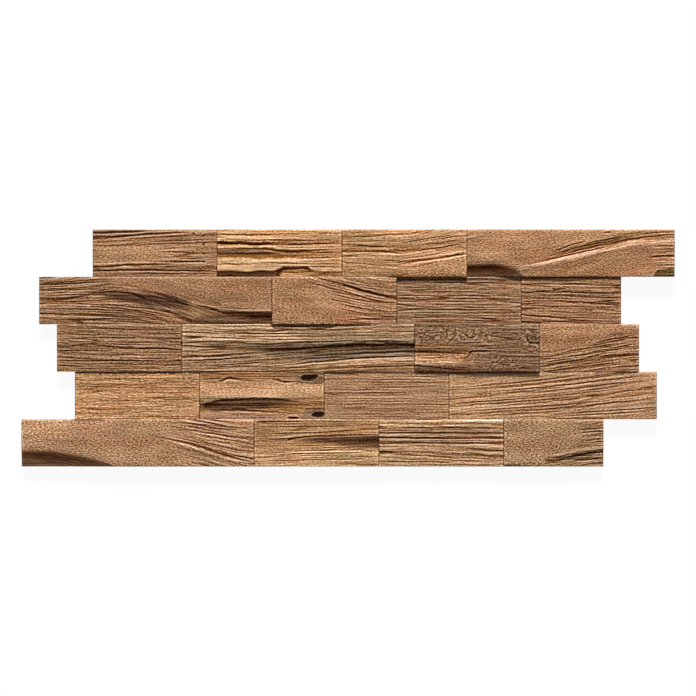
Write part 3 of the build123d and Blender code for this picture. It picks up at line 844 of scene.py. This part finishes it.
def hollows(grid, split, brushed, cut):
    """Painted shade and painted highlight, from 1 deep in a groove to -1 on a crest, by the heights before
    and after the edges were brushed, with the dirt in the joints at the ends added.
    """
    around = blur(split, *WIDE_LIE)
    filled = np.where(split < around - 2 * STEP_CAP, around, split)
    lie = blur(filled, *LIE)
    level = np.clip(filled, lie - STEP_CAP, lie + STEP_CAP)
    fine = np.clip((blur(level, *FINE_LIE) - level) / FINE_STEP, -0.9, 1.4)
    broad = np.clip((blur(level, *BROAD_LIE) - level) / BROAD_STEP, -0.3, 0.5)
    # painted shade on the slopes that turn away from the light
    painted_underside_shade = np.clip(np.gradient(level, CELL_ACROSS, axis=0), 0, 1.5)
    painted_shade_highlight_and_dirt = 0.52 * (fine + broad) + 0.25 * cut + 0.22 * painted_underside_shade
    painted_shade_highlight_and_dirt *= 1 - 0.65 * smooth(1.5, 3, lie - brushed)
    # painted highlight along the top edge, which faces the light
    painted_top_edge_highlight = np.exp((grid.y - grid.height) / EDGE_WIDTH)
    return np.clip(painted_shade_highlight_and_dirt + dark_ends(grid) - 0.5 * painted_top_edge_highlight, -1, 1)


def stain_and_painted_light_masks(grid, face):
    """How strongly each colour of the stained patches, the painted shade and the painted highlights colours
    each point, by the colour's name.
    """
    masks = {}
    for colour_name, outline, soft, strength in face.marks():
        mask = strength * grid.patch(outline, soft)
        masks[colour_name] = np.maximum(masks.get(colour_name, 0), mask)
    return masks


def riven_face(grid, face):
    """Heights of the dressed face, its points' places across the grain, and the masks of its colours."""
    across = grain_across(grid, face)
    worn = worn_patches(grid, face)
    cut, lips = cuts(grid, face, across, worn)
    relief = brushed_relief(grid, face, across, worn) + lips
    for points, half_width, height in face.crests:
        line, _ = grid.stroke(points, half_width)
        relief += height * line
    split = blur(solid_heights(grid, face), *CREASES) + relief - cut
    brushed = np.minimum(split - worn_edges(grid), cad_box[1].z / MM)
    masks = {"painted_shade_highlight_and_dirt": hollows(grid, split, brushed, cut), "worn": worn, **stain_and_painted_light_masks(grid, face)}
    return brushed, across, masks


# Mesh of a block

def block_mesh(grid, heights, across, masks):
    """A closed mesh of the riven face, the sawn sides and the back, with its masks and bake map."""
    rows, columns = heights.shape
    number = np.arange(rows * columns).reshape(rows, columns)
    ring = np.concatenate([number[0, :-1], number[:-1, -1], number[-1, :0:-1], number[:0:-1, 0]])
    x = grid.low[0] + grid.x + END_SWELL * (2 * grid.x / grid.length - 1)
    y = grid.low[1] + grid.y + JOINT_SWELL * (2 * grid.y / grid.height - 1)
    x = np.clip(x, cad_box[0].x / MM, cad_box[1].x / MM)
    y = np.clip(y, cad_box[0].y / MM, cad_box[1].y / MM)
    face_points = np.stack([x, y, heights], 2).reshape(-1, 3)
    base = grid.low[2]
    points = [face_points]
    for share in WALL_STEPS:
        lower = face_points[ring]
        lower[:, 2] += share * (base - lower[:, 2])
        points.append(lower)
    points = np.vstack(points)

    quads = np.stack([number[:-1, :-1], number[:-1, 1:], number[1:, 1:], number[1:, :-1]], 2).reshape(-1, 4)
    rings = [ring]
    for step in range(len(WALL_STEPS)):
        rings.append(number.size + step * len(ring) + np.arange(len(ring)))
    walls = [
        np.stack([upper, lower, np.roll(lower, -1), np.roll(upper, -1)], 1)
        for upper, lower in zip(rings[:-1], rings[1:])
    ]
    back = rings[-1][::-1]
    mesh = bpy.data.meshes.new("riven_" + grid.node)
    mesh.from_pydata(points * MM, [], [*quads.tolist(), *np.vstack(walls).tolist(), back.tolist()])
    mesh.polygons.foreach_set("use_smooth", np.ones(len(mesh.polygons), bool))

    on_end = (ring % columns == 0) | (ring % columns == columns - 1)
    grain = points.copy()
    grain[: number.size, 1] = across.ravel() + grid.low[1]
    for lower in rings[1:]:
        grain[lower, 1] = across.ravel()[ring] + grid.low[1]
    write_mask(mesh, "grain", grain, "FLOAT_VECTOR", "vector")
    wall_count = len(ring) * len(WALL_STEPS)
    for name, values in masks.items():
        write_mask(mesh, name, np.concatenate([values.ravel(), np.zeros(wall_count)]))
    write_mask(mesh, "sawn", np.concatenate([np.zeros(number.size), np.ones(wall_count)]))
    write_mask(mesh, "end_grain", np.concatenate([np.zeros(number.size), np.tile(on_end, len(WALL_STEPS))]))
    write_bake_map(mesh, grid, quads, len(ring))
    return mesh


def add(name, data):
    """A new object in the scene."""
    made = bpy.data.objects.new(name, data)
    bpy.context.scene.collection.objects.link(made)
    return made


def write_mask(mesh, name, values, kind="FLOAT", key="value"):
    """Values for every vertex of a mesh, under a name that its finish reads."""
    mask = mesh.attributes.new(name, kind, "POINT")
    mask.data.foreach_set(key, np.asarray(values, np.float32).ravel())


FACE_SHARE = 0.80  # of the bake map's height
WALL_SHARE = 0.16
MAP_GAP = 0.01  # between the face and the sides
BACK_CENTRE = (0.5, 0.985)
BACK_REACH = (0.49, 0.012)  # half its length and half its height


def write_bake_map(mesh, grid, quads, ring_length):
    """A flat map of the block: its face below, its sides above that and its back on top."""
    span = np.array([grid.length, grid.height])
    flat = np.stack([grid.x, grid.y], 2).reshape(-1, 2) / span
    face_map = (flat * (1, FACE_SHARE))[quads.ravel()]
    corner = np.arange(ring_length) / ring_length
    step = 1 / ring_length
    wall_maps = []
    depths = np.array((0.0, *WALL_STEPS)) * WALL_SHARE + FACE_SHARE + MAP_GAP
    for upper, lower in zip(depths[:-1], depths[1:]):
        left = np.stack([corner, corner, corner + step, corner + step], 1)
        height = np.tile([upper, lower, lower, upper], (ring_length, 1))
        wall_maps.append(np.stack([left, height], 2).reshape(-1, 2))
    turn = (np.arange(ring_length)[::-1] / ring_length * 2 * math.pi)[:, None]
    back_map = np.array(BACK_CENTRE) + np.array(BACK_REACH) * np.hstack([np.cos(turn), np.sin(turn)])
    places = np.vstack([face_map, *wall_maps, back_map])
    layer = mesh.uv_layers.new(name="OFBake")
    layer.uv.foreach_set("vector", places.astype(np.float32).ravel())


# Finishes

class Shade:
    """One output of a node. Arithmetic on it adds Math nodes."""

    def __init__(self, nodes, socket):
        self.nodes = nodes
        self.socket = socket

    def math(self, operation, first, second):
        return self.nodes.node("Math", {"operation": operation}, {0: first, 1: second})

    def __add__(self, other):
        return self.math("ADD", self, other)

    def __sub__(self, other):
        return self.math("SUBTRACT", self, other)

    def __rsub__(self, other):
        return self.math("SUBTRACT", other, self)

    def __mul__(self, other):
        return self.math("MULTIPLY", self, other)

    __radd__ = __add__
    __rmul__ = __mul__


class Nodes:
    """The nodes of a material or of the sky, from the first one to the output."""

    def __init__(self, tree):
        self.tree = tree
        self.tree.nodes.clear()

    def node(self, kind, settings=None, inputs=None, output=0):
        """Adds a node, sets it up, fills or links its sockets and gives one of its outputs."""
        made = self.tree.nodes.new("ShaderNode" + kind)
        for key, value in (settings or {}).items():
            setattr(made, key, value)
        for key, value in (inputs or {}).items():
            if isinstance(value, Shade):
                self.tree.links.new(value.socket, made.inputs[key])
            else:
                made.inputs[key].default_value = value
        return Shade(self, made.outputs[output]) if made.outputs else None

    def close(self, shader, kind):
        """Ends the nodes with a shader on the surface of a material or world."""
        self.node("Output" + kind, None, {"Surface": shader})


class Finish(Nodes):
    """A material that is being made."""

    def __init__(self, name):
        self.material = bpy.data.materials.new(name)
        self.material.use_nodes = True
        super().__init__(self.material.node_tree)

    def mask(self, name):
        return self.node("Attribute", {"attribute_name": name}, output="Fac")

    def mix(self, share, first, second, blend="MIX"):
        """A colour between two colours."""
        return self.node(
            "Mix", {"data_type": "RGBA", "blend_type": blend}, {0: share, 6: first, 7: second}, output=2
        )

    def brighten(self, colour, factor):
        return self.node("VectorMath", {"operation": "SCALE"}, {0: colour, "Scale": factor})

    def fade(self, colour, depth, rates):
        """A colour that fades with depth, each of its parts at its own rate."""
        parts = [self.node("Math", {"operation": "EXPONENT"}, {0: depth * -rate}) for rate in rates]
        shares = self.node("CombineXYZ", None, dict(enumerate(parts)))
        return self.node("VectorMath", {"operation": "MULTIPLY"}, {0: colour, 1: shares})

    def stretched_noise(self, place, sizes, detail, rough=0.5):
        """Noise from -1 to 1 with given lengths along the grain, across it and into the wood."""
        scaled = self.node("VectorMath", {"operation": "DIVIDE"}, {0: place, 1: sizes})
        found = self.node(
            "TexNoise", None, {"Vector": scaled, "Scale": 1.0, "Detail": detail, "Roughness": rough}
        )
        return self.ramp(found, 0.25, 0.75, -1.0, 1.0)

    def ramp(self, value, low, high, start, end):
        """A value from start to end as another goes from low to high."""
        return self.node("MapRange", {"clamp": True}, {0: value, 1: low, 2: high, 3: start, 4: end})

    def surface(self, colour, roughness, normal, specular):
        shader = self.node(
            "BsdfPrincipled",
            None,
            {"Base Color": colour, "Roughness": roughness, "Normal": normal, "Specular IOR Level": specular},
        )
        return self.made(shader)

    def made(self, shader):
        """The finished material, with this shader on its surface."""
        self.close(shader, "Material")
        return self.material


def opaque(colour, light=1.0):
    return (*(light * part for part in colour), 1.0)


def grey(light):
    return opaque((1, 1, 1), light)


def riven_wood(node, face):
    """Split, brushed hardwood: growth bands, fibres, painted shade in the grooves, painted highlights on the
    crests, and coloured patches, most of them stained wood and some painted shade and painted highlight.
    """
    finish = Finish("riven_wood_" + node)
    grain = finish.node("Attribute", {"attribute_name": "grain"}, output="Vector")
    painted_shade_highlight_and_dirt = finish.mask("painted_shade_highlight_and_dirt")
    worn = finish.mask("worn")

    def pattern(along, across, detail=2.0, rough=0.5):
        return finish.stretched_noise(grain, (along, across, across), detail, rough)

    bands = pattern(130, 4.5, 3.0)
    streaks = pattern(34, 0.9, 3.0, 0.6)
    drift = pattern(55, 11)
    veins = pattern(45, 2.2)
    pores = pattern(5.5, 0.42, 1.0)
    clouds = pattern(24, 12, 1.0)
    pebbled = pattern(1.3, 0.8)
    threads = pattern(7, 0.55)
    texture = threads * (1 - 0.7 * worn) + pebbled * (0.6 + 0.3 * worn)

    colour = opaque(TONES[face.tone], face.light)
    for colour_name in dict.fromkeys(name for name, *_ in face.marks()):
        colour = finish.mix(finish.mask(colour_name) * (0.85 + 0.3 * streaks), colour, opaque(STAIN_AND_PAINTED_LIGHT_COLOURS[colour_name]))
    hue = 0.5 * drift + 0.12 * veins
    colour = finish.mix(finish.ramp(hue, 0, 1, 0, 1), colour, WARM_VEIN, "MULTIPLY")
    colour = finish.mix(finish.ramp(hue, -1, 0, 1, 0), colour, COOL_VEIN, "MULTIPLY")
    figure = 0.12 * clouds + 0.16 * bands + 0.16 * streaks * (1 - 0.5 * worn) + 0.11 * pores
    # the texture is also the bump's height, so this paints shade into its low spots and highlights onto its
    # high ones
    colour = finish.brighten(colour, 1.0 + figure + 0.2 * texture)
    # painted shade deep in the grooves and on slopes turned from the light, painted highlight on the crests
    # and the top edge, and dirt in the joints at the ends
    colour = finish.fade(colour, finish.ramp(painted_shade_highlight_and_dirt, 0, 1, 0, 1), GROOVE_SHADE_RATES)
    colour = finish.fade(colour, finish.ramp(painted_shade_highlight_and_dirt, -1, 0, -1, 0), CREST_HIGHLIGHT_RATES)

    rings = pattern(400, 2.2)
    saw_marks = pattern(0.8, 90)
    side_light = 0.85 + 0.13 * bands + 0.1 * streaks + 0.09 * saw_marks
    end_light = 0.72 + 0.15 * rings + 0.1 * pores
    sides, ends = (finish.brighten(TONES[face.tone], face.light * light) for light in (side_light, end_light))
    colour = finish.mix(finish.mask("sawn"), colour, finish.mix(finish.mask("end_grain"), sides, ends))

    normal = finish.node("Bump", None, {"Strength": 0.8, "Distance": 0.4 * MM, "Height": texture})
    return finish.surface(colour, 0.78 - 0.08 * bands, normal, specular=0.05)


def plywood():
    """Raw plywood: plain face veneers, and light and dark plies along its edges."""
    finish = Finish("raw_plywood")
    place = finish.node("TexCoord", output="Object")
    place = finish.node("VectorMath", {"operation": "SCALE"}, {0: place, "Scale": 1 / MM})
    figure = finish.stretched_noise(place, (160, 7, 30), 3.0)
    fibre = finish.stretched_noise(place, (22, 0.8, 3), 2.0)
    depth = finish.node("SeparateXYZ", None, {0: place}, output="Z")
    plies = finish.node("Math", {"operation": "SINE"}, {0: depth * (math.pi / PLY)})
    lightness = 1 + 0.14 * figure + 0.08 * fibre + 0.12 * plies
    colour = finish.brighten(PLYWOOD_TONE, lightness)
    normal = finish.node("Bump", None, {"Strength": 0.5, "Distance": 0.1 * MM, "Height": fibre})
    return finish.surface(colour, 0.8 - 0.05 * figure, normal, specular=0.2)


def dress(node):
    """The riven block that stands for a block's solid."""
    row, place = (int(part[-1]) for part in node.split("_"))
    face = FACES[node]
    grid = Grid(node, 1000 * row + 100 * place)
    heights, across, masks = riven_face(grid, face)
    piece = add("riven_" + node, block_mesh(grid, heights, across, masks))
    piece.data.materials.append(riven_wood(node, face))
    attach(piece, BODY)
    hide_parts(node)


for row in range(1, ROWS + 1):
    for place in range(1, BLOCKS_IN_A_ROW + 1):
        dress(f"row{row}_block{place}")

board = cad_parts["backing_board"]
board.data.materials.clear()
board.data.materials.append(plywood())

# Floor, light and camera

VIEW_WIDTH = 585.7 * MM  # what the picture spans at the panel's face
FACE_HEIGHT = 15 * MM
LENS = 250.0
SENSOR = 36.0
FLOOR_SIDE = 12.0
FLOOR_DROP = 0.1 * MM  # the floor lies this far under the panel's back
SUN_HEIGHT = 42.0  # degrees above the panel, from the top of the wall
SUN_STRENGTH = 3.4
SUN_SOFTNESS = 14.0
SKY_STRENGTH = 0.26
FLOOR_BOUNCE = 0.8  # how pale the floor is to the light that it gives back to the panel
FLOOR_GLOW = 0.93  # how pale it is to the camera in full shadow
FLOOR_SHADE = 0.08  # what the light adds to that
CAMERA_REACH = 100.0


def camera_sees(nodes):
    """1 for what the camera sees directly, by reflection or through glass."""
    rays = ("Is Camera Ray", "Is Glossy Ray", "Is Transmission Ray")
    camera, glossy, through = (nodes.node("LightPath", output=ray) for ray in rays)
    return camera + glossy + through


def white_floor():
    """A white floor that keeps a faint shadow."""
    finish = Finish("white_floor")
    plain = finish.node("BsdfDiffuse", None, {"Color": grey(FLOOR_BOUNCE)})
    shadowed = finish.node("BsdfDiffuse", None, {"Color": grey(FLOOR_SHADE)})
    glow = finish.node("Emission", None, {"Color": grey(1.0), "Strength": FLOOR_GLOW})
    shown = finish.node("AddShader", None, {0: shadowed, 1: glow})
    mixed = finish.node("MixShader", None, {0: camera_sees(finish), 1: plain, 2: shown})
    return finish.made(mixed)


def make_stage():
    mesh = bpy.data.meshes.new("floor")
    half = FLOOR_SIDE / 2
    corners = [(half * x, half * y, -FLOOR_DROP) for x, y in ((-1, -1), (1, -1), (1, 1), (-1, 1))]
    mesh.from_pydata(corners, [], [(0, 1, 2, 3)])
    floor = add("floor", mesh)
    mesh.materials.append(white_floor())


def make_light():
    lamp = bpy.data.lights.new("window_light", "SUN")
    lamp.energy = SUN_STRENGTH
    lamp.angle = math.radians(SUN_SOFTNESS)
    sun = add("window_light", lamp)
    sun.rotation_euler = (math.radians(SUN_HEIGHT - 90), 0, 0)
    world = bpy.data.worlds.new("soft_sky")
    world.use_nodes = True
    nodes = Nodes(world.node_tree)
    strength = SKY_STRENGTH + (1 - SKY_STRENGTH) * camera_sees(nodes)
    shown = nodes.node("Background", None, {"Color": grey(1.0), "Strength": strength})
    nodes.close(shown, "World")
    bpy.context.scene.world = world


def make_camera():
    data = bpy.data.cameras.new("camera")
    data.lens = LENS
    data.sensor_width = SENSOR
    camera = add("camera", data)
    camera.location = (0, 0, FACE_HEIGHT + VIEW_WIDTH * LENS / SENSOR)
    data.clip_end = CAMERA_REACH
    bpy.context.scene.camera = camera


make_stage()
make_light()
make_camera()
bpy.context.scene.view_settings.view_transform = "Standard"
